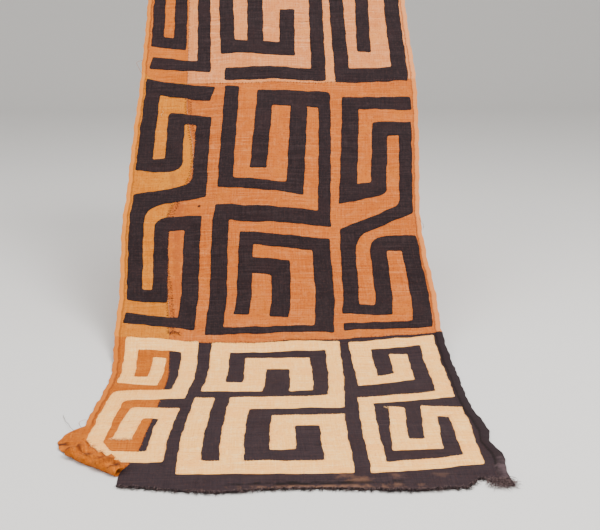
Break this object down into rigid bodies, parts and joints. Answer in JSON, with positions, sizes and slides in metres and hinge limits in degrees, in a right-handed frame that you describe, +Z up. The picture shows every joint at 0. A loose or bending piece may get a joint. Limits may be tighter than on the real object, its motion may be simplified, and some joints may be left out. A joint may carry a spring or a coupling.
{
  "type": "kuba raffia cloth",
  "caption": "Long raffia cloth of sewn panels with applied meander bands, hung from its top edge so that its front part trails flat on the floor.",
  "frame": {"origin": "middle of the top edge, half way through its turned hem, where the cloth is held up", "axes": "+X to the cloth's right as the picture shows its face, +Y away from the viewer towards the top edge, +Z up"},
  "size_m": [0.7591, 1.5024, 0.8238],
  "materials": {
    "black_ground": "plain woven raffia, dyed black, faded at the front edge",
    "deep_orange_ground": "plain woven raffia, dyed deep orange",
    "salmon_ground": "plain woven raffia, dyed salmon orange",
    "ochre_ground": "plain woven raffia, dyed golden ochre",
    "peach_ground": "plain woven raffia, pale peach",
    "orange_ground": "plain woven raffia, dyed orange",
    "black_band": "plain woven raffia, dyed black, cut in bands and sewn down",
    "cream_band": "plain woven raffia, undyed cream, cut in bands and sewn down"
  },
  "bodies": {
    "root": {"bottom_panel": "black_ground", "bottom_strip": "deep_orange_ground", "middle_panel": "salmon_ground", "middle_strip": "ochre_ground", "top_panel": "peach_ground", "top_strip": "orange_ground", "top_left_band": "black_band", "top_centre_band": "black_band", "top_right_band": "black_band", "middle_left_band": "black_band", "middle_centre_band": "black_band", "middle_right_band": "black_band", "bottom_left_band": "cream_band", "bottom_centre_band": "cream_band", "bottom_right_band": "cream_band"}
  },
  "joints": []
}
